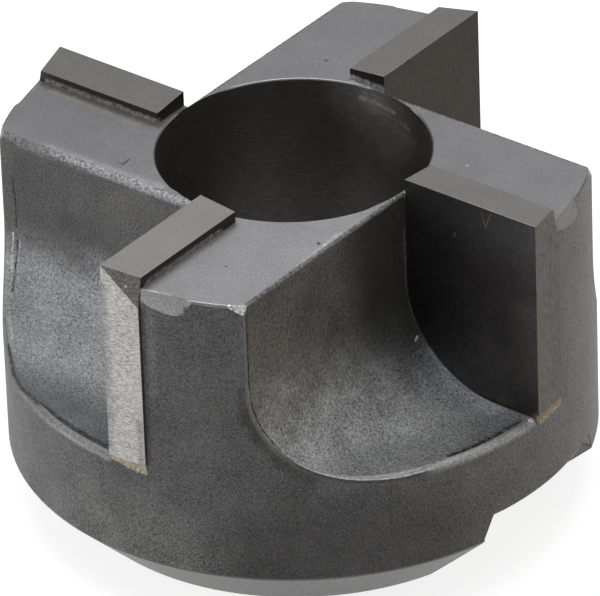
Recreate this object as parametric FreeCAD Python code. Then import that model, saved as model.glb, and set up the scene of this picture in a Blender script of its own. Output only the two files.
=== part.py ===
import FreeCAD, Part
import math
import os

# Reverse spotfacer: a round steel cutter that runs backwards on a driver bar.
# Origin on the bore axis at the flat back face, +Z towards the cutting side.
# The wing on +X has its carbide face looking towards -Y.
# All sizes are in millimetres and all angles in degrees.

# Circle that the tips cut, and how far the body stands back from it
cut_diameter = 55.56
side_clearance = 0.25

# Body, turned from one bar of steel
bar_diameter = 25.4
bore_clearance = 0.025
wing_top_height = 34.7
base_chamfer = 5.6

# Drive slot, milled straight across the back face through the axis, its inner corners sloped
slot_width = 18.25
slot_depth = 8.0
slot_corner_across = 1.0
slot_corner_height = 2.1
slot_index_angle = 3.9

# Four wings, left standing between four gullets
wing_count = 4
wing_back_wall = 0.25
face_lead = 0.5
gullet_floor_height = 15.6
gullet_radius = 10.2

# Outer edges tumbled round: the rim and back walls, and the lip of the gullet floor
rim_radius = 0.25
lip_radius = 0.8

# Trailing top edge of each wing, dressed by hand, in the order of the tips
top_edge_radii = [0.5, 0.5, 0.5, 0.3]

# Carbide tips, brazed into open pockets on the leading faces
tip_thickness = 3.97
tip_rise = 1.5
tip_foot = 0.6
tip_top_relief = 6.0
tip_side_relief = 4.0
pocket_sink = 0.2
braze_gap = 0.15

# Clearance facet ground over the outer top corner of each tip and wing
facet_drop = 3.0
facet_depth = 0.6
facet_reach = 7.8
facet_run_out = 3.0

# Small flat ground on the trailing outer corner of each wing
corner_along_rim = 1.8
corner_drop = 0.95
corner_along_edge = 0.6

# Room by which a cutting shape runs past what it cuts, and the error allowed in finding an edge
overcut = 5.0
edge_match = 0.01

cut_radius = cut_diameter / 2
body_radius = cut_radius - side_clearance
bore_radius = bar_diameter / 2 + bore_clearance
wing_pitch = 360 / wing_count

# The back wall of every gullet, and the inner end of every pocket
wall_offset = bore_radius + wing_back_wall

pocket_floor_height = gullet_floor_height - pocket_sink
pocket_depth = tip_thickness + braze_gap

tip_face = -face_lead
tip_back = tip_face + tip_thickness
tip_inner = wall_offset + braze_gap
tip_foot_height = pocket_floor_height + tip_foot
tip_face_top = wing_top_height + tip_rise
tip_back_top = tip_face_top - tip_thickness * math.tan(math.radians(tip_top_relief))
tip_face_outer = math.sqrt(cut_radius ** 2 - face_lead ** 2)
tip_back_outer = tip_face_outer - tip_thickness * math.tan(math.radians(tip_side_relief))


def vector(x, y, z):
    return FreeCAD.Vector(x, y, z)


def face_of(points):
    """Flat face with straight sides through the points."""
    return Part.Face(Part.makePolygon(points + [points[0]]))


def box_between(low, high):
    """Box from its low corner to its high corner."""
    size = high - low
    return Part.makeBox(size.x, size.y, size.z, low)


def around(shape, index):
    """The shape of the +X wing, turned to the wing with this number."""
    turned = shape.copy()
    turned.rotate(vector(0, 0, 0), vector(0, 0, 1), index * wing_pitch)
    return turned


def turned_blank():
    """Solid of revolution, chamfered at the back."""
    profile = face_of([
        vector(0, 0, 0),
        vector(body_radius - base_chamfer, 0, 0),
        vector(body_radius, 0, base_chamfer),
        vector(body_radius, 0, wing_top_height),
        vector(0, 0, wing_top_height),
    ])
    return profile.revolve(vector(0, 0, 0), vector(0, 0, 1), 360)


def bore_cut():
    length = wing_top_height + 2 * overcut
    return Part.makeCylinder(bore_radius, length, vector(0, 0, -overcut))


def drive_slot_cut():
    """Straight slot with sloped inner corners, run right across the back face."""
    half = slot_width / 2
    ceiling = half - slot_corner_across
    wall_top = slot_depth - slot_corner_height
    reach = body_radius + overcut
    outline = Part.makePolygon([
        vector(-reach, -half, -overcut),
        vector(-reach, -half, wall_top),
        vector(-reach, -ceiling, slot_depth),
        vector(-reach, ceiling, slot_depth),
        vector(-reach, half, wall_top),
        vector(-reach, half, -overcut),
        vector(-reach, -half, -overcut),
    ])
    slot = Part.Face(outline).extrude(vector(2 * reach, 0, 0))
    slot.rotate(vector(0, 0, 0), vector(0, 0, 1), slot_index_angle)
    return slot


def gullet_cut(top_radius):
    """Chip space before the +X wing: round top edge, upright wall, large round, flat floor."""
    r = gullet_radius
    lean = r * (1 - math.sqrt(0.5))
    top_lean = top_radius * (1 - math.sqrt(0.5))
    reach = body_radius + overcut
    top = wing_top_height + overcut
    floor = gullet_floor_height
    edge_start = vector(wall_offset - top_radius, tip_face, wing_top_height)
    edge_middle = vector(wall_offset - top_lean, tip_face, wing_top_height - top_lean)
    edge_end = vector(wall_offset, tip_face, wing_top_height - top_radius)
    start = vector(wall_offset, tip_face, floor + r)
    middle = vector(wall_offset + lean, tip_face, floor + lean)
    end = vector(wall_offset + r, tip_face, floor)
    far_low = vector(reach, tip_face, floor)
    far_high = vector(reach, tip_face, top)
    near_high = vector(wall_offset - top_radius, tip_face, top)
    outline = Part.Wire([
        Part.makeLine(near_high, edge_start),
        Part.Arc(edge_start, edge_middle, edge_end).toShape(),
        Part.makeLine(edge_end, start),
        Part.Arc(start, middle, end).toShape(),
        Part.makeLine(end, far_low),
        Part.makeLine(far_low, far_high),
        Part.makeLine(far_high, near_high),
    ])
    return Part.Face(outline).extrude(vector(0, -reach, 0))


def with_round_edges(shape):
    """Rounds each outer edge from a wing's rim, down its back wall and round to the lip."""
    chosen = []
    for edge in shape.Edges:
        heights = sorted(vertex.Z for vertex in edge.Vertexes)
        middle = edge.valueAt((edge.FirstParameter + edge.LastParameter) / 2)
        outside = abs(math.hypot(middle.x, middle.y) - body_radius) < edge_match
        low = abs(heights[0] - gullet_floor_height) < edge_match
        high = abs(heights[-1] - gullet_floor_height - gullet_radius) < edge_match
        if outside and low and high:
            chosen.append(edge)
    # The kernel carries each rounding on to the edges that run on smoothly from these.
    return shape.makeFillet(rim_radius, lip_radius, chosen).Solids[0]


def pocket_cut():
    """Open seat for the tip in the leading side of the +X wing."""
    return box_between(
        vector(wall_offset, tip_face, pocket_floor_height),
        vector(body_radius + overcut, tip_face + pocket_depth, wing_top_height + overcut),
    )


def solid_between(front, back):
    """Solid with flat sides from one outline to another with as many points."""
    faces = [face_of(front), face_of(back)]
    for index in range(len(front)):
        after = (index + 1) % len(front)
        faces.append(face_of([front[index], front[after], back[after], back[index]]))
    return Part.Solid(Part.Shell(faces))


def tip_blank():
    """Carbide plate of the +X wing, with relief on its top and its outer side."""
    def outline(y, outer, top):
        return [
            vector(tip_inner, y, tip_foot_height),
            vector(outer, y, tip_foot_height),
            vector(outer, y, top),
            vector(tip_inner, y, top),
        ]
    return solid_between(
        outline(tip_face, tip_face_outer, tip_face_top),
        outline(tip_back, tip_back_outer, tip_back_top),
    )


def facet_cut():
    """What lies outside the plane ground over the outer top corner."""
    sharp = vector(tip_face_outer, tip_face, tip_face_top)
    upper = vector(tip_back_outer - facet_depth, tip_back, tip_back_top)
    lower = vector(tip_back_outer, tip_back, tip_back_top - facet_drop)
    across = upper - sharp
    down = lower - upper
    outward = down.cross(across).normalize()
    # The wheel runs out of the steel at its reach behind the centre line.
    far = sharp + across * ((facet_reach - tip_face) / tip_thickness)
    across.normalize()
    down.normalize()
    near = sharp - across * overcut
    lift = down * -overcut
    sink = down * (facet_drop + overcut)
    rise = outward * overcut
    run_out = across * overcut * facet_run_out
    return solid_between(
        [near + lift, far + lift, far + sink, near + sink],
        [near + lift + rise, far + lift + rise + run_out, far + sink + rise + run_out, near + sink + rise],
    )


def corner_cut():
    """What lies outside the small flat on the trailing outer corner."""
    turn = math.asin(wall_offset / body_radius)
    along = corner_along_rim / body_radius
    rim = vector(
        body_radius * math.cos(turn - along),
        body_radius * math.sin(turn - along),
        wing_top_height,
    )
    corner = vector(body_radius * math.cos(turn), wall_offset, wing_top_height)
    edge = corner - vector(corner_along_edge, 0, 0)
    low = corner - vector(0, 0, corner_drop)
    middle = (rim + edge + low) * (1 / 3)
    outward = (edge - rim).cross(low - rim).normalize()
    if outward.dot(corner - middle) < 0:
        outward = outward * -1
    # The flat is the triangle between the three points, drawn out well past them.
    spread = 1 + overcut / corner_along_rim
    plane = face_of([middle + (point - middle) * spread for point in (rim, edge, low)])
    return plane.extrude(outward * overcut)


def body_without_pockets():
    gullets = []
    ground = []
    for index in range(wing_count):
        # The back wall of this gullet belongs to the wing before it.
        gullets.append(around(gullet_cut(top_edge_radii[index - 1]), index))
        ground.append(around(facet_cut(), index))
        ground.append(around(corner_cut(), index))
    winged = with_round_edges(turned_blank().cut(gullets))
    return winged.cut(ground + [bore_cut(), drive_slot_cut()])


def body(blank):
    pockets = [around(pocket_cut(), index) for index in range(wing_count)]
    return blank.cut(pockets).removeSplitter()


def carbide_tip():
    return tip_blank().cut(facet_cut())


def braze_seam(blank):
    """Filler in the pocket behind, below and inside the tip of the +X wing."""
    return blank.common(pocket_cut()).cut(carbide_tip()).removeSplitter()


def write(shape, name):
    if shape.ShapeType == "Compound" and len(shape.Solids) == 1:
        shape = shape.Solids[0]
    shape.exportStep("parts/" + name + ".step")


os.makedirs("parts", exist_ok=True)
solid_body = body_without_pockets()
write(body(solid_body), "body")
for number in range(wing_count):
    write(around(carbide_tip(), number), "carbide_tip_" + str(number + 1))
    write(around(braze_seam(solid_body), number), "braze_seam_" + str(number + 1))
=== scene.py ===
import math

import bmesh
import bpy
from mathutils import Matrix, Vector


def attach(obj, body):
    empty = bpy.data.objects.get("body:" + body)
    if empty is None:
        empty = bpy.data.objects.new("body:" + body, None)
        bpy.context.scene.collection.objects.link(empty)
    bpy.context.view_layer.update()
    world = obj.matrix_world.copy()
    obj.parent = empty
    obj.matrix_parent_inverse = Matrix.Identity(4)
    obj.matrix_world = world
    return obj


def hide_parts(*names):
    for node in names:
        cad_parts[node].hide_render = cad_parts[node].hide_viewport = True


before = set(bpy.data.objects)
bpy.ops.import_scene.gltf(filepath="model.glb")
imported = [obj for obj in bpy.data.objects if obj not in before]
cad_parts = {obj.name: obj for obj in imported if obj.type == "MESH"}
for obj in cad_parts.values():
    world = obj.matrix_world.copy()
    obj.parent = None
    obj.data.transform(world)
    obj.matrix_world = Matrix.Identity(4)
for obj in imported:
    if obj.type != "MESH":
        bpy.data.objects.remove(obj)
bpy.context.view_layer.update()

# The setting: the cutter stands on its flat back on a white table, seen from above through a
# long lens. A large soft light stands behind and above it, a small one to its left and a wide,
# weak one to its right, so the wing tops are pale and the side that faces the camera is dark.
target = Vector((0.0, 0.0, 0.01864))
azimuth = math.radians(-51.43)
elevation = math.radians(31.85)
roll = math.radians(-2.10)
distance = 0.817
aim_right = 0.00008
focal_pixels = 8832.0
picture_width = 600.0
sensor = 36.0
sky_strength = 0.35
table_reach = 2.0
table_glow = 0.82

towards_camera = Vector((
    math.cos(azimuth) * math.cos(elevation),
    math.sin(azimuth) * math.cos(elevation),
    math.sin(elevation),
))
level_right = Vector((-math.sin(azimuth), math.cos(azimuth), 0.0))
level_up = towards_camera.cross(level_right)
right = math.cos(roll) * level_right + math.sin(roll) * level_up
up = math.cos(roll) * level_up - math.sin(roll) * level_right

camera_data = bpy.data.cameras.new("camera")
camera_data.sensor_width = sensor
camera_data.lens = focal_pixels / picture_width * sensor
camera = bpy.data.objects.new("camera", camera_data)
place = Matrix.Translation(target + aim_right * level_right + distance * towards_camera)
camera.matrix_world = place @ Matrix((right, up, towards_camera)).transposed().to_4x4()
bpy.context.scene.collection.objects.link(camera)
bpy.context.scene.camera = camera
bpy.context.scene.view_settings.view_transform = "Standard"


def linear(code):
    """Linear colour of an sRGB hex value."""
    parts = [int(code[i:i + 2], 16) / 255 for i in (0, 2, 4)]
    return [p / 12.92 if p <= 0.04045 else ((p + 0.055) / 1.055) ** 2.4 for p in parts] + [1.0]


def soft_light(name, turn, height, reach, size, power):
    """A square softbox, this far from the cutter at that azimuth and elevation in degrees."""
    a, e = math.radians(turn), math.radians(height)
    data = bpy.data.lights.new(name, "AREA")
    data.shape = "SQUARE"
    data.size = size
    data.energy = power
    light = bpy.data.objects.new(name, data)
    way = Vector((math.cos(a) * math.cos(e), math.sin(a) * math.cos(e), math.sin(e)))
    light.location = target + reach * way
    light.rotation_euler = way.to_track_quat("Z", "Y").to_euler()
    bpy.context.scene.collection.objects.link(light)


soft_light("over", turn=128, height=78, reach=0.9, size=0.8, power=8.0)
soft_light("left", turn=-141, height=20, reach=0.9, size=0.5, power=3.0)
soft_light("right", turn=39, height=24, reach=0.9, size=1.2, power=1.8)

world = bpy.data.worlds.new("studio")
world.use_nodes = True
sky = world.node_tree.nodes["Background"]
sky.inputs["Color"].default_value = linear("ffffff")
sky.inputs["Strength"].default_value = sky_strength
bpy.context.scene.world = world

# White table: a matt board. It glows as well, so that it comes out white under these lights.
table = bpy.data.materials.new("white_laminate")
table.use_nodes = True
table_shader = table.node_tree.nodes["Principled BSDF"]
table_shader.inputs["Base Color"].default_value = linear("909090")
table_shader.inputs["Roughness"].default_value = 0.7
table_shader.inputs["Emission Color"].default_value = linear("ffffff")
table_shader.inputs["Emission Strength"].default_value = table_glow
table_corners = [
    (-table_reach, -table_reach, 0), (table_reach, -table_reach, 0),
    (table_reach, table_reach, 0), (-table_reach, table_reach, 0),
]
floor_mesh = bpy.data.meshes.new("floor")
floor_mesh.from_pydata(table_corners, [], [(0, 1, 2, 3)])
floor_mesh.materials.append(table)
floor = bpy.data.objects.new("floor", floor_mesh)
bpy.context.scene.collection.objects.link(floor)

# Body: one piece of steel. By its looks it was turned, bored and milled, then hardened, which
# gave it its dark skin, and tumbled, which rounded its edges, and its tops were ground last. The
# photograph proves none of these steps, here and in the comments on each finish below.

# Sizes are in metres, as in the CAD. Gullet faces past the radius lip_start belong to the rounded
# lip. The clearance flats lie above facet_foot and less than facet_end behind their wing's axis.
# The bore's rim is rounded over the first rim_end degrees of each quarter turn. A face belongs to
# the wing whose axis, moved on by wing_middle of a quarter turn, is nearest to it.
body_radius = 0.02753
bore_radius = 0.012725
wing_top = 0.0347
chamfer_top = 0.0056
slot_top = 0.008
lip_start = 0.0266
facet_foot = 0.0315
facet_end = 0.0112
edge_band = 0.0005
side_band = 0.0002
edge_width = 0.00015
rim_end = 74.0
wing_middle = 0.28
front_wing = -1
near = 0.00003

# The patterns on the metal, in millimetres and shares. The photograph's grain is one to two pixels
# wide, or 0.1 to 0.2 mm, which is the finest that it can show, so the real one may be finer. Each
# finish draws its own at 0.15 to 0.4 mm, so that it shows in the render. Clouds are the broad
# blotches. Drift makes the marks wander by less than drift_reach, and breaks up those narrower than
# broad, down to patch_least of their share. Each range is where in a noise its effect sets in and
# ends.
octaves = {"Detail": 4.0, "Roughness": 0.6}
noise_middle = 0.5
cloud_size = 4.0
cloud_share = 0.22
drift_size = 0.5
drift_reach = 0.5
broad = 3.0
patch_range = (0.38, 0.52)
patch_least = 0.4
grain_range = (0.35, 0.65)
glint_range = (0.58, 0.74)
glint_density = 1.8
gloss_range = (0.2, 0.8)
gloss_swing = 0.06


def add(tree, kind, inputs, **settings):
    """Adds a node. Each input takes a value or the socket of another node.

    A Mix node's colour sockets have numbers here: inputs 6 and 7, and output 2.
    """
    made = tree.nodes.new(kind)
    for name, value in settings.items():
        setattr(made, name, value)
    for name, value in inputs.items():
        if isinstance(value, bpy.types.NodeSocket):
            tree.links.new(value, made.inputs[name])
        else:
            made.inputs[name].default_value = value
    return made


def shaded(tree, colour, places, blotch, axis, start, end, tone, share):
    """Takes a colour slowly over to a tone, from one place on an axis to another.

    The clouds push the passage to and fro, so that it has no straight edge.
    """
    moved = {0: blotch, 1: end - start, 2: places[axis]}
    there = add(tree, "ShaderNodeMath", moved, operation="MULTIPLY_ADD").outputs[0]
    ramp = {"Value": there, "From Min": start, "From Max": end, "To Max": share}
    amount = add(tree, "ShaderNodeMapRange", ramp, interpolation_type="SMOOTHSTEP").outputs[0]
    mixed = {0: amount, 6: colour, 7: linear(tone)}
    return add(tree, "ShaderNodeMix", mixed, data_type="RGBA").outputs[2]


def marked(tree, colour, mm, wobble, patchy, first, last, reach, core, tone, share):
    """Lays a scratch, a stain, a worn place, a painted shade or a painted highlight over a colour, along the
    line between two points.

    It has its full share within core of the line and none past reach. A narrow one is broken up.
    """
    way = Vector(last) - Vector(first)
    squared = max(way.length_squared, 0.000001)
    moved = {0: wobble, 1: (min(reach, drift_reach),) * 3, 2: mm}
    spot = add(tree, "ShaderNodeVectorMath", moved, operation="MULTIPLY_ADD").outputs[0]
    beside = add(tree, "ShaderNodeVectorMath", {0: spot, 1: first}, operation="SUBTRACT").outputs[0]
    along = add(
        tree, "ShaderNodeVectorMath", {0: beside, 1: way / squared}, operation="DOT_PRODUCT",
    ).outputs["Value"]
    held = add(tree, "ShaderNodeMapRange", {"Value": along}).outputs[0]
    foot = add(tree, "ShaderNodeVectorMath", {0: way, "Scale": held}, operation="SCALE").outputs[0]
    off = add(
        tree, "ShaderNodeVectorMath", {0: beside, 1: foot}, operation="DISTANCE",
    ).outputs["Value"]
    ramp = {"Value": off, "From Min": reach, "From Max": core, "To Max": share}
    amount = add(tree, "ShaderNodeMapRange", ramp, interpolation_type="SMOOTHSTEP").outputs[0]
    if reach < broad:
        amount = add(tree, "ShaderNodeMath", {0: amount, 1: patchy}, operation="MULTIPLY").outputs[0]
    mixed = {0: amount, 6: colour, 7: linear(tone)}
    return add(tree, "ShaderNodeMix", mixed, data_type="RGBA").outputs[2]


def surface(
    name, tone, contrast, metallic, roughness, grain, depth,
    packing=(1.0, 1.0, 1.0), glints=0.0, shades=(), marks=(),
):
    """A metal surface with a grain, with what wear and stains have done to it, and with painted light and
    shade.

    tone, contrast: its sRGB colour, and how far the grain takes it up and down.
    grain, depth: the grain's size and relief in millimetres.
    packing: how many times finer it is along x, y and z.
    glints: how much its brightest specks, which are painted glints, add.
    shades: each an axis, two places on it in millimetres, and the tone and share at the second.
    marks: each two ends in millimetres, the reach and the core of its width, its tone and share.
    """
    made = bpy.data.materials.new(name)
    made.use_nodes = True
    tree = made.node_tree
    shader = tree.nodes["Principled BSDF"]
    shader.inputs["Metallic"].default_value = metallic

    spot = add(tree, "ShaderNodeTexCoord", {}).outputs["Object"]
    mm = add(tree, "ShaderNodeVectorMath", {0: spot, "Scale": 1000.0}, operation="SCALE").outputs[0]
    ways = add(tree, "ShaderNodeSeparateXYZ", {0: mm}).outputs
    flat = add(
        tree, "ShaderNodeVectorMath", {0: mm, 1: (1.0, 1.0, 0.0)}, operation="MULTIPLY",
    ).outputs[0]
    radius = add(tree, "ShaderNodeVectorMath", {0: flat}, operation="LENGTH").outputs["Value"]
    places = {"X": ways["X"], "Y": ways["Y"], "Z": ways["Z"], "radius": radius}

    packed = add(
        tree, "ShaderNodeVectorMath", {0: mm, 1: packing}, operation="MULTIPLY",
    ).outputs[0]
    noise = {"Vector": packed, "Scale": 1 / grain, **octaves}
    fine = add(tree, "ShaderNodeTexNoise", noise).outputs["Fac"]
    noise = {"Vector": mm, "Scale": 1 / cloud_size, **octaves}
    cloud = add(tree, "ShaderNodeTexNoise", noise).outputs["Fac"]
    noise = {"Vector": mm, "Scale": 1 / drift_size, **octaves, "Roughness": 0.7}
    drift = add(tree, "ShaderNodeTexNoise", noise).outputs
    centred = {0: drift["Color"], 1: (noise_middle,) * 3}
    wobble = add(tree, "ShaderNodeVectorMath", centred, operation="SUBTRACT").outputs[0]
    low, high = patch_range
    ramp = {"Value": drift["Fac"], "From Min": low, "From Max": high, "To Min": patch_least}
    patchy = add(tree, "ShaderNodeMapRange", ramp).outputs[0]

    colour = linear(tone)
    blotch = add(tree, "ShaderNodeMath", {0: cloud, 1: noise_middle}, operation="SUBTRACT").outputs[0]
    for shade in shades:
        colour = shaded(tree, colour, places, blotch, *shade)
    for mark in marks:
        colour = marked(tree, colour, mm, wobble, patchy, *mark)

    both = add(tree, "ShaderNodeMix", {0: cloud_share, 2: fine, 3: cloud}).outputs[0]
    low, high = grain_range
    ramp = {"Value": both, "From Min": low, "From Max": high}
    swing = {"To Min": 1 - contrast, "To Max": 1 + contrast}
    strength = add(tree, "ShaderNodeMapRange", {**ramp, **swing}).outputs[0]
    if glints:
        noise = {"Vector": packed, "Scale": glint_density / grain, "Detail": 2.0, "Distortion": 0.5}
        specks = add(tree, "ShaderNodeTexNoise", noise).outputs["Fac"]
        low, high = glint_range
        ramp = {"Value": specks, "From Min": low, "From Max": high, "To Max": glints}
        bright = add(tree, "ShaderNodeMapRange", ramp).outputs[0]
        strength = add(tree, "ShaderNodeMath", {0: strength, 1: bright}).outputs[0]
    grained = add(
        tree, "ShaderNodeMix", {0: 1.0, 6: colour, 7: strength},
        data_type="RGBA", blend_type="MULTIPLY", clamp_result=True,
    ).outputs[2]
    tree.links.new(grained, shader.inputs["Base Color"])

    low, high = gloss_range
    ramp = {"Value": fine, "From Min": low, "From Max": high}
    swing = {"To Min": roughness + gloss_swing, "To Max": roughness - gloss_swing}
    gloss = add(tree, "ShaderNodeMapRange", {**ramp, **swing}).outputs[0]
    tree.links.new(gloss, shader.inputs["Roughness"])
    bump = add(tree, "ShaderNodeBump", {"Height": fine, "Distance": depth / 1000})
    tree.links.new(bump.outputs["Normal"], shader.inputs["Normal"])
    return made


def scratch_and_painted_light_line(points, reach, tone, share):
    """Thin marks that join these points one to the next: scratches, and lines of painted light and shade."""
    return [(first, last, reach, reach / 3, tone, share) for first, last in zip(points, points[1:])]


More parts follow.
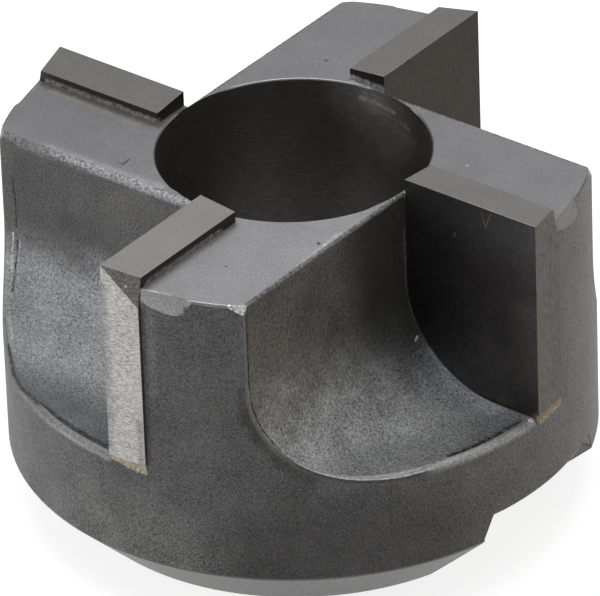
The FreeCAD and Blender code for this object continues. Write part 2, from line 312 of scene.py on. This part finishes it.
# Heights and a distance that many marks share, in millimetres: the wing tops, the floor of the
# gullets, and how far their back walls stand off the axes.
top = wing_top * 1000
gullet_floor = 15.6
wall = 12.98
finishes = {
    # Wing tops: a pale satin, as grinding leaves it. They are stained darker beside the seams, carry painted
    # highlights and painted sheen along some edges, and have a few nicks and one hooked scratch.
    "tops": surface(
        "ground_steel_tops", tone="828284", contrast=0.24, metallic=0.8, roughness=0.42, grain=0.15,
        depth=0.03,
        marks=[
            # The front wing is paler than the others, and the left one darker.
            ((6.0, -27.0, top), (9.0, -11.0, top), 11.0, 5.0, "9c9c9e", 0.55),
            ((-24.0, -8.0, top), (-18.0, -8.0, top), 7.0, 2.0, "747478", 0.4),
            # A painted highlight on the arris where the front wing's clearance flat begins.
            ((3.6, -27.0, top), (5.0, -26.7, top), 0.2, 0.05, "d8d8da", 0.8),
            ((5.0, -26.7, top), (6.4, -26.3, top), 0.2, 0.05, "d8d8da", 0.35),
            # Dark stains along the seams of the front and the left tip, the latter with a paler edge.
            ((3.7, -26.5, top), (3.7, -14.0, top), 0.9, 0.1, "55504a", 0.5),
            ((-26.0, -3.7, top), (-13.0, -3.7, top), 1.4, 0.2, "5e5a54", 0.7),
            ((-25.0, -4.5, top), (-14.5, -4.7, top), 0.5, 0.1, "8f8b84", 0.8),
            # A painted sheen along the left wing's trailing edge, and a pale place at the rear tip's inner
            # end.
            ((-19.0, -12.5, top), (-6.0, -12.3, top), 1.0, 0.0, "c0c0c4", 0.4),
            ((-2.9, 13.0, top), (-0.2, 13.2, top), 0.5, 0.1, "e0e0e4", 0.7),
            # Dark and bright nicks, and last a painted sheen along the front wing's trailing edge.
            ((7.4, -19.7, top), (7.5, -19.7, top), 0.2, 0.1, "3a3a3c", 0.6),
            ((11.9, -11.8, top), (12.0, -11.9, top), 0.2, 0.1, "2c2c2e", 0.9),
            ((12.5, -11.6, top), (12.6, -11.7, top), 0.2, 0.05, "e0e0e0", 0.9),
            ((-7.25, 14.4, top), (-7.25, 14.5, top), 0.3, 0.1, "3a3a3c", 0.8),
            ((14.8, 6.7, top), (14.9, 6.6, top), 0.25, 0.1, "b8b8bc", 0.8),
            ((13.3, -17.5, top), (12.5, -9.5, top), 0.7, 0.0, "bcbcc0", 0.6),
        ] + scratch_and_painted_light_line(
            [(-11.85, -11.03, top), (-11.22, -10.94, top), (-11.32, -9.93, top)],
            0.12, "2c2c2e", 1.0,
        ),
    ),
    # Outer side: a dark grey skin, matt and rough, as hardening would leave it. Painted light makes it paler
    # in some places and painted shade darker in others, and two tan patches at the foot of the tips are taken
    # to be braze that has run out.
    "sides": surface(
        "scaled_steel_sides", tone="484747", contrast=0.8, metallic=0.5, roughness=0.48, grain=0.18,
        depth=0.1,
        # Warmer towards the right, and painted light makes it lighter towards the left, past x 0 mm.
        shades=[("X", 20.0, 27.0, "474540", 0.6), ("X", 0.0, -8.0, "505050", 1.0)],
        marks=[
            # Painted light below the front tip, and painted shade below the right gullet.
            ((-2.0, -27.4, 5.0), (3.0, -27.2, 5.0), 11.0, 3.0, "5b5b5a", 0.85),
            ((17.0, -21.6, 7.0), (23.0, -15.0, 6.0), 11.0, 4.0, "262423", 0.6),
            # Beside the front tip's seam, a pale strip and a brown stain.
            ((4.6, -27.2, 34.0), (4.6, -27.2, 24.0), 0.8, 0.0, "626264", 0.6),
            ((3.6, -27.3, 32.5), (3.7, -27.3, 17.0), 0.5, 0.15, "3e352e", 0.8),
            # The tan patches below the front and the right tip.
            ((0.8, -27.5, 15.5), (3.2, -27.4, 15.3), 0.5, 0.2, "a39a84", 0.9),
            ((27.5, 0.3, 15.2), (27.3, 3.2, 15.5), 0.6, 0.2, "948260", 0.6),
            # A scratch below the right gullet, and a painted shadow beside that gullet's edge; a dark band
            # follows the edge itself.
            ((22.5, -15.8, 14.9), (22.4, -15.9, 13.6), 0.12, 0.04, "181818", 0.9),
            ((12.0, -24.8, 24.0), (15.0, -23.1, 16.0), 5.0, 1.0, "3a3938", 0.3),
        ] + scratch_and_painted_light_line(
            [
                (12.9, -24.3, 25.5), (13.0, -24.3, 23.0), (13.7, -23.9, 21.2),
                (15.4, -22.8, 18.5), (17.5, -21.3, 16.7),
            ],
            1.2, "2a2928", 0.7,
        ),
    ),
    # Gullets with their back wall along y: the wall is brown and dull, the round below it a rough grey with
    # painted glints, paler partly by painted light, and the corner beside the tip nearly black with painted
    # shade, with a brown line down it. Thin lines of painted shade follow the outer edge.
    "gullets_along_y": surface(
        "milled_steel_gullets_along_y", tone="736e67", contrast=0.8, metallic=0.3, roughness=0.5, grain=0.19,
        depth=0.7, packing=(0.8, 1.2, 0.8), glints=0.9,
        shades=[("Z", 25.0, 34.0, "3c3933", 0.45), ("Z", 27.0, 16.0, "b5b6b6", 1.0)],
        # Lines of painted shade along the outer edge of the wall and the round, and along the floor's outer
        # edge.
        marks=scratch_and_painted_light_line(
            [
                (wall, -23.9, 33.6), (wall, -23.9, 26.5), (13.2, -23.75, 23.6),
                (13.9, -23.4, 21.6), (15.2, -22.5, 19.3),
            ],
            0.15, "1c1b1a", 1.0,
        ) + scratch_and_painted_light_line(
            [
                (24.6, -9.9, gullet_floor), (25.6, -7.0, gullet_floor),
                (26.1, -4.2, gullet_floor), (26.4, -1.6, gullet_floor),
            ],
            0.35, "1c1b1a", 1.0,
        ) + [
            # Painted shade along the floor's outer edge, in the corner beside the tip and on the wall.
            ((25.2, -8.5, gullet_floor), (26.3, -1.6, gullet_floor), 2.4, 0.0, "2a2b2d", 0.35),
            ((wall, -2.0, 34.0), (13.1, -2.0, 24.5), 11.0, 3.0, "1a1918", 0.87),
            ((wall, -14.0, 29.0), (13.7, -11.0, 22.0), 4.5, 1.0, "2c2a28", 0.35),
            # A painted bluish sheen below the tip, a painted shadow across the floor, painted highlights
            # along the tip's foot, and last a white spot.
            ((23.0, -1.0, gullet_floor), (17.5, -1.0, 17.0), 5.0, 0.5, "a9b2bf", 0.6),
            ((19.8, -18.4, 16.2), (25.2, -4.0, gullet_floor), 4.2, 1.0, "2e2f31", 0.4),
            ((23.0, -0.8, gullet_floor), (18.5, -0.8, 16.8), 2.0, 0.3, "dfe6ee", 0.8),
            ((15.6, -0.8, 19.0), (17.5, -0.8, 17.3), 0.5, 0.1, "b8c4d2", 0.7),
            ((17.5, -0.8, 17.3), (20.5, -0.8, 16.0), 0.5, 0.1, "b8c4d2", 0.7),
            ((14.61, -1.18, 20.27), (14.72, -1.64, 20.11), 0.16, 0.08, "ffffff", 1.0),
        ] + scratch_and_painted_light_line(
            [(wall, -0.6, 31.0), (wall, -0.6, 25.5), (13.4, -0.6, 22.8), (14.3, -0.6, 20.6)],
            0.2, "6e675d", 0.8,
        ),
    ),
    # Gullets with their back wall along x: the wall is a flat dark grey, the round below it is rough and
    # pale, partly by painted light, with painted glints, and lines of painted shade and highlight follow its
    # outer edge.
    "gullets_along_x": surface(
        "milled_steel_gullets_along_x", tone="6e6e6f", contrast=0.55, metallic=0.4, roughness=0.5, grain=0.22,
        depth=0.45, glints=1.2,
        shades=[
            ("Z", 24.0, 27.0, "4a4a4a", 0.8), ("X", -21.0, -8.0, "686766", 1.0),
            ("Z", 24.5, 21.5, "acaeb1", 0.8), ("Z", 16.6, 15.2, "515358", 0.95),
        ],
        marks=[
            # Paler under the top edge and down the wall's outer edge, with two clouds in the round.
            ((-22.0, -wall, 34.2), (-13.0, -wall, 34.2), 0.7, 0.0, "909092", 0.5),
            ((-13.5, -wall, 34.3), (-2.5, -wall, 34.3), 0.45, 0.1, "b4b4b8", 0.75),
            ((-21.8, -15.2, 19.6), (-19.0, -17.6, 17.3), 3.5, 0.5, "3a3b3e", 0.25),
            ((-13.0, -13.1, 24.2), (-12.6, -13.8, 21.8), 3.0, 0.0, "d4d6da", 0.25),
            ((-23.6, -wall, 34.0), (-23.6, -wall, 25.0), 0.9, 0.6, "5c5c56", 0.8),
        ]
        # Lines of painted shade and painted highlight down the outer edge, and last a painted shadow line
        # along the floor.
        + scratch_and_painted_light_line(
            [(-22.92, -13.0, 30.2), (-22.73, -13.0, 28.0), (-22.74, -13.0, 25.0)],
            0.14, "161616", 1.0,
        )
        + scratch_and_painted_light_line(
            [(-22.55, -13.2, 23.7), (-22.3, -13.95, 21.5), (-21.8, -15.15, 19.5)],
            0.16, "161616", 1.0,
        )
        + scratch_and_painted_light_line([(-23.1, -13.1, 24.3), (-23.0, -13.5, 22.6), (-22.6, -14.2, 20.9)], 0.13, "c8c8cc", 0.9)
        + scratch_and_painted_light_line([(-22.25, -13.1, 24.4), (-22.2, -13.3, 23.2), (-22.0, -13.9, 21.9)], 0.13, "b8b8bc", 0.45)
        + scratch_and_painted_light_line([(-21.3, -16.3, 18.3), (-20.6, -17.1, 17.6), (-19.4, -18.4, 16.8)], 0.2, "b0b0b4", 0.6)
        + scratch_and_painted_light_line(
            [
                (-11.6, -24.2, gullet_floor), (-8.5, -25.2, gullet_floor),
                (-5.3, -25.9, gullet_floor), (-1.9, -26.4, gullet_floor),
            ],
            0.45, "2a2b2d", 0.9,
        ),
    ),
    # Outer edges of the gullets: rounded, as tumbling would leave them. A thin painted highlight runs along
    # the crest, with darker steel on both sides of it, and a broad painted highlight lies near the right
    # tip's foot.
    "lips": surface(
        "tumbled_steel_lips", tone="454444", contrast=0.4, metallic=0.5, roughness=0.45, grain=0.25,
        depth=0.05,
        shades=[
            ("radius", 27.36, 27.32, "c4c4c6", 0.65), ("radius", 27.26, 27.2, "777777", 1.0),
            ("Z", 17.0, 19.5, "5f5f5b", 1.0), ("X", 23.5, 25.6, "888886", 1.0),
            ("X", 0.0, -1.0, "707070", 1.0), ("radius", 27.4, 27.52, "4a4947", 0.8),
        ],
        # A white spot at the right tip's foot, a band in the floor's tone, and a painted shadow line along
        # the inner edge of the left gullet's lip.
        marks=[
            ((27.1, -0.7, 15.5), (27.0, -0.9, 15.5), 0.3, 0.15, "ffffff", 1.0),
        ] + scratch_and_painted_light_line(
            [
                (-22.2, -14.6, 20.0), (-20.5, -16.9, 17.6), (-18.3, -19.3, 16.2),
                (-15.3, -21.7, gullet_floor), (-11.6, -23.8, gullet_floor),
            ],
            1.0, "54575e", 1.0,
        ) + scratch_and_painted_light_line(
            [
                (-19.2, -19.1, 16.5), (-17.0, -21.4, gullet_floor),
                (-15.2, -22.7, 15.4), (-11.6, -24.2, gullet_floor),
            ],
            0.3, "2e2f32", 0.9,
        ),
    ),
    # Trailing top edges: broken and rough, with painted glints, as if dressed by hand.
    "dressed": surface(
        "dressed_steel_edges", tone="6c6c6c", contrast=0.8, metallic=0.7, roughness=0.45, grain=0.25,
        depth=0.2, glints=1.0,
    ),
    # The left wing's trailing top edge: rough like the others, but paler and with more painted glints.
    "frosted": surface(
        "frosted_steel_edge", tone="97979a", contrast=0.75, metallic=0.6, roughness=0.5, grain=0.24,
        depth=0.3, glints=1.5,
        shades=[("Y", -12.65, -12.35, "828284", 1.0), ("X", -13.0, -24.0, "5c5c5e", 0.85)],
    ),
    # Clearance flat on the front wing: pale and smooth, as if ground together with its tip. The
    # side's dark skin shows in two places on it.
    "facets": surface(
        "ground_steel_facets", tone="848484", contrast=0.3, metallic=0.8, roughness=0.4, grain=0.2,
        depth=0.02,
        marks=[
            ((3.6, -27.3, 32.8), (5.4, -27.0, 32.5), 0.7, 0.3, "454444", 1.0),
            ((8.0, -26.4, 32.8), (8.4, -26.2, 33.4), 0.9, 0.5, "454444", 1.0),
        ],
    ),
    # Clearance flats on the other wings: darker and slightly warmer than the front wing's.
    "dull_facets": surface(
        "tumbled_steel_facets", tone="66645f", contrast=0.3, metallic=0.7, roughness=0.45, grain=0.25,
        depth=0.02,
    ),
    # The front wing's trailing outer corner: a small bright flat, as if it had been ground bare.
    "corners": surface(
        "ground_steel_corners", tone="b8b9bc", contrast=0.5, metallic=0.8, roughness=0.4, grain=0.25,
        depth=0.06, glints=0.5,
        shades=[("Z", 34.6, 34.3, "5c5b5a", 0.9), ("X", 12.1, 11.6, "77777a", 1.0)],
        marks=[((12.2, -24.7, 34.1), (12.7, -24.3, 34.3), 0.9, 0.6, "d8d9dc", 1.0)],
    ),
    # Bore: fine level lines run round it, as boring leaves them. It looks nearly black inside and
    # has a soft sheen of light below the far rim.
    "bore": surface(
        "bored_steel", tone="504d49", contrast=0.4, metallic=0.7, roughness=0.4, grain=0.25, depth=0.02,
        packing=(0.3, 0.3, 3.0),
        shades=[("X", -6.0, -1.0, "625e59", 1.0), ("X", 1.5, 4.5, "504d49", 1.0)],
        marks=[
            ((-1.0, 12.7, 33.5), (1.0, 12.6, 31.3), 5.5, 1.0, "787675", 1.0),
            ((-0.6, 12.7, 34.0), (-0.1, 12.7, 33.4), 2.3, 0.2, "a29e9a", 0.9),
            ((-1.9, 12.58, 33.4), (2.0, 12.57, 33.1), 0.4, 0.0, "d0cac2", 0.9),
            ((-0.8, 12.7, 32.6), (4.0, 12.08, 32.2), 0.4, 0.0, "a09a92", 0.8),
            ((0.5, 12.7, 31.6), (5.0, 11.7, 31.2), 0.5, 0.0, "8c867e", 0.6),
        ],
    ),
    # Base chamfer and back face: a smooth grey, whose grain runs level round the chamfer.
    "turned": surface(
        "turned_steel_chamfer", tone="5a5a59", contrast=0.25, metallic=0.8, roughness=0.42, grain=0.25,
        depth=0.01, packing=(0.5, 0.5, 2.0),
    ),
    # Drive slot: plain, matt and slightly warm in tone.
    "slot": surface(
        "milled_steel_slot", tone="7a756e", contrast=0.3, metallic=0.5, roughness=0.5, grain=0.3, depth=0.03,
    ),
    # Rounded edges of the bore's rim and of the base: the rim's are pale, and the base's dark.
    "edge": surface(
        "tumbled_steel_edge", tone="808080", contrast=0.2, metallic=0.9, roughness=0.35, grain=0.2,
        depth=0.01,
        shades=[("Z", 9.0, 8.5, "55514b", 1.0)],
    ),
}
order = list(finishes)

# How far a face of the body points along a direction to count as lying so, as a cosine.
level = 0.999
faces_out = 0.995
faces_in = -0.9
slopes_down = -0.6
leans_out = 0.3
slopes_up = 0.1
leans_up = 0.05


def zone_of(centre, normal):
    """Which finish a face of the body has, from where it is and which way it faces.

    Wings are counted in quarter turns from +X, so the front wing, on -Y, comes before it.
    """
    radius = math.hypot(centre.x, centre.y)
    outward = (normal.x * centre.x + normal.y * centre.y) / radius
    if radius < bore_radius + near and outward < faces_in:
        return "bore"
    if abs(normal.z) > level and (centre.z > wing_top - near or centre.z < near):
        return "tops" if normal.z > 0 else "turned"
    if centre.z < chamfer_top and normal.z < slopes_down and outward > leans_out:
        return "turned"
    if centre.z < slot_top + near and outward < faces_out:
        return "slot"
    if outward > faces_out and radius > body_radius - side_band:
        return "sides"
    wing = round(math.atan2(centre.y, centre.x) / (math.pi / 2) - wing_middle)
    behind = (Matrix.Rotation(-wing * math.pi / 2, 3, "Z") @ centre).y
    if centre.z > facet_foot and radius > lip_start and normal.z > slopes_up:
        if behind < facet_end:
            return "facets" if wing == front_wing else "dull_facets"
        return "corners" if wing == front_wing else "dressed"
    if centre.z > wing_top - edge_band and normal.z > leans_up:
        return "frosted" if centre.x < 0 and centre.y < 0 else "dressed"
    if radius > lip_start:
        return "lips"
    return "gullets_along_y" if centre.x * centre.y < 0 else "gullets_along_x"


def merged_copy(node, name, least_sharp):
    """A node's loose triangles as one closed skin, its edges sharp from this many degrees."""
    mesh = bpy.data.meshes.new(name)
    work = bmesh.new()
    work.from_mesh(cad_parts[node].data)
    bmesh.ops.remove_doubles(work, verts=work.verts, dist=0.000001)
    bmesh.ops.dissolve_limit(work, angle_limit=0.0005, verts=work.verts, edges=work.edges)
    for face in work.faces:
        face.smooth = True
    for edge in work.edges:
        edge.smooth = edge.calc_face_angle(0.0) < math.radians(least_sharp)
    work.to_mesh(mesh)
    work.free()
    copy = bpy.data.objects.new(name, mesh)
    bpy.context.scene.collection.objects.link(copy)
    return copy


def soften(thing, width, edge_slot):
    """Rounds the edges that carry a bevel weight, and leaves the result as the piece's own mesh.

    edge_slot: the finish of the rounded edges, or -1 for that of the faces beside them.
    """
    bevel = thing.modifiers.new("soften", "BEVEL")
    bevel.width = width
    bevel.segments = 2
    bevel.limit_method = "WEIGHT"
    bevel.use_clamp_overlap = False
    bevel.material = edge_slot
    shading = thing.modifiers.new("shading", "WEIGHTED_NORMAL")
    shading.keep_sharp = True
    shading.weight = 100
    graph = bpy.context.evaluated_depsgraph_get()
    rounded = thing.evaluated_get(graph)
    mesh = bpy.data.meshes.new_from_object(rounded, preserve_all_data_layers=True, depsgraph=graph)
    thing.modifiers.clear()
    thing.data = mesh


steel_body = merged_copy("body", "cutter_body", least_sharp=25)
skin = steel_body.data
for finish in finishes.values():
    skin.materials.append(finish)
for polygon in skin.polygons:
    polygon.material_index = order.index(zone_of(polygon.center, polygon.normal))

# The bore's rim is rounded except where a wing's top runs out to nothing between bore and gullet.
weights = skin.attributes.new("bevel_weight_edge", "FLOAT", "EDGE")
for edge in skin.edges:
    ends = [skin.vertices[index].co for index in edge.vertices]
    rim = all(
        end.z > wing_top - near and math.hypot(end.x, end.y) < bore_radius + near
        and math.degrees(math.atan2(end.y, end.x)) % 90 < rim_end
        for end in ends
    )
    base = all(end.z < slot_top + near for end in ends)
    if edge.use_edge_sharp and (rim or base):
        weights.data[edge.index].value = 1.0
soften(steel_body, edge_width, order.index("edge"))

# The wing tops, the bore and the outer side, flat or round by their making, get the exact direction of that
# plane or cylinder.
skin = steel_body.data
directions = [corner.vector.copy() for corner in skin.corner_normals]
for polygon in skin.polygons:
    zone = order[polygon.material_index]
    for index in polygon.loop_indices:
        corner = skin.vertices[skin.loops[index].vertex_index].co
        if zone == "tops":
            directions[index] = Vector((0.0, 0.0, 1.0))
        elif zone in ("bore", "sides"):
            away = Vector((corner.x, corner.y, 0.0)).normalized()
            directions[index] = away if zone == "sides" else -away
skin.normals_split_custom_set(directions)
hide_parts("body")
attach(steel_body, "root")

# Carbide tips: plates of cemented carbide, brazed into the wings. By their looks they were then
# ground on the land, the flank and the clearance facet, which the photograph doesn't prove.

# The scratches of the right tip lie on its leading face, which is at face_y in millimetres.
tip_count = 4
front_tip = 3
tip_edge = 0.000025
face_y = -0.5
tip_finishes = {
    # Land on top: a flat grey, with painted light and shade that make it palest on the right tip and darkest
    # on the left one.
    "land": surface(
        "ground_carbide_land", tone="908e8c", contrast=0.15, metallic=1.0, roughness=0.4, grain=0.2,
        depth=0.01,
        shades=[
            ("Y", 0.0, -10.0, "878583", 1.0), ("X", 12.0, 14.0, "969492", 1.0),
            ("X", -4.0, -12.0, "706f6d", 1.0),
        ],
    ),
    # Leading face: a dark satin. Painted light makes the right tip's paler at its top, its foot and its outer
    # end, and painted shade makes the other tips' darker; they are also browner. The right one has two small
    # tan scratches near its top.
    "face": surface(
        "lapped_carbide_face", tone="4a4748", contrast=0.3, metallic=1.0, roughness=0.38, grain=0.3,
        depth=0.02,
        shades=[
            ("Z", 29.0, 35.0, "5a5959", 0.8), ("Z", 24.0, 18.0, "5f5c5a", 1.0),
            ("X", 12.0, 2.0, "2d2822", 1.0),
        ],
        marks=[
            ((27.3, face_y, 26.0), (27.3, face_y, 20.5), 3.5, 0.5, "78756f", 0.35),
        ] + scratch_and_painted_light_line(
            [(21.77, face_y, 35.68), (22.19, face_y, 34.24), (22.79, face_y, 35.82)],
            0.08, "a8977c", 0.8,
        ) + scratch_and_painted_light_line([(18.54, face_y, 32.0), (18.76, face_y, 32.45)], 0.09, "a8a294", 0.9),
    ),
    # Outer flank: a dull brown grey with faint upright lines.
    "flank": surface(
        "ground_carbide_flank", tone="4f4d48", contrast=0.3, metallic=1.0, roughness=0.45, grain=0.25,
        depth=0.02, packing=(1.0, 1.0, 0.4),
    ),
    # Clearance facet of the front tip: a mid grey with one white spot.
    "facet": surface(
        "ground_carbide_facet", tone="656463", contrast=0.4, metallic=1.0, roughness=0.42, grain=0.25,
        depth=0.03,
        marks=[((2.08, -27.45, 34.67), (2.12, -27.45, 34.67), 0.12, 0.05, "e0e0e0", 1.0)],
    ),
    # Back and inner end: nearly black, as flux would leave them, with a grey line at the height of
    # the wing's top.
    "back": surface(
        "fluxed_carbide_back", tone="16130f", contrast=0.5, metallic=0.2, roughness=0.5, grain=0.3,
        depth=0.02,
        shades=[("Y", -27.0, -27.3, "3c3a36", 1.0)],
        marks=[
            ((-26.0, -3.5, top), (-13.0, -3.5, top), 0.65, 0.35, "85827d", 1.0),
            ((3.5, -26.0, top), (3.5, -15.5, top), 0.6, 0.25, "827f7b", 1.0),
            ((-3.4, 12.9, top), (0.4, 12.9, top), 0.6, 0.3, "969698", 1.0),
        ],
    ),
    # Outer flank of the front tip: much paler than the other tips' flanks, partly from a rougher grind and
    # partly painted light. It has short level lines, as a coarse wheel would leave them, and painted glints.
    "bright": surface(
        "rough_ground_lit_carbide_flank", tone="a6a4a0", contrast=0.45, metallic=1.0, roughness=0.5, grain=0.26,
        depth=0.05, packing=(0.7, 0.7, 2.0), glints=0.3,
        shades=[("Z", 26.0, 16.5, "a4a3a2", 0.8)],
        marks=[
            ((-0.6, -27.8, 34.0), (-0.5, -27.8, 17.0), 1.2, 0.1, "858586", 1.0),
            ((3.1, -27.5, 20.5), (3.0, -27.5, 16.2), 0.6, 0.1, "7a7874", 0.7),
        ],
    ),
}
tip_order = list(tip_finishes)

# How far a face of a tip points along a direction, as a cosine.
straight = 0.9
sloping = 0.15
outwards = 0.5

for number in range(tip_count):
    node = "carbide_tip_" + str(number + 1)
    turn_back = Matrix.Rotation(-number * math.pi / 2, 3, "Z")
    tip = merged_copy(node, "ground_tip_" + str(number + 1), least_sharp=5)
    for finish in tip_finishes.values():
        tip.data.materials.append(finish)
    for polygon in tip.data.polygons:
        way = turn_back @ polygon.normal
        if way.y < -straight:
            part = "face"
        elif way.y > straight or way.x < -straight:
            part = "back"
        elif way.z > straight:
            part = "land"
        elif way.z > sloping:
            part = "facet" if number == front_tip else "flank"
        elif way.x > outwards:
            part = "bright" if number == front_tip else "flank"
        else:
            part = "back"
        polygon.material_index = tip_order.index(part)
    weights = tip.data.attributes.new("bevel_weight_edge", "FLOAT", "EDGE")
    for item in weights.data:
        item.value = 1.0
    soften(tip, tip_edge, edge_slot=-1)
    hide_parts(node)
    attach(tip, "root")

# Braze seams: filler metal, taken to be brass, that was melted in behind each tip. It looks tan at
# the foot and nearly black above it, brown round the right tip, and grey at the wings' tops.
braze = surface(
    "fluxed_brass_braze", tone="8f8775", contrast=0.3, metallic=0.6, roughness=0.5, grain=0.4, depth=0.04,
    shades=[
        ("Z", 16.2, 17.5, "221e1a", 1.0), ("X", 3.3, 3.5, "2b2521", 0.9),
        ("X", 10.0, 12.0, "453d33", 1.0), ("X", 26.9, 27.3, "6b5c45", 1.0), ("Z", 34.0, 34.6, "77736d", 1.0),
    ],
)
for number in range(tip_count):
    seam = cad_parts["braze_seam_" + str(number + 1)]
    seam.material_slots[0].material = braze
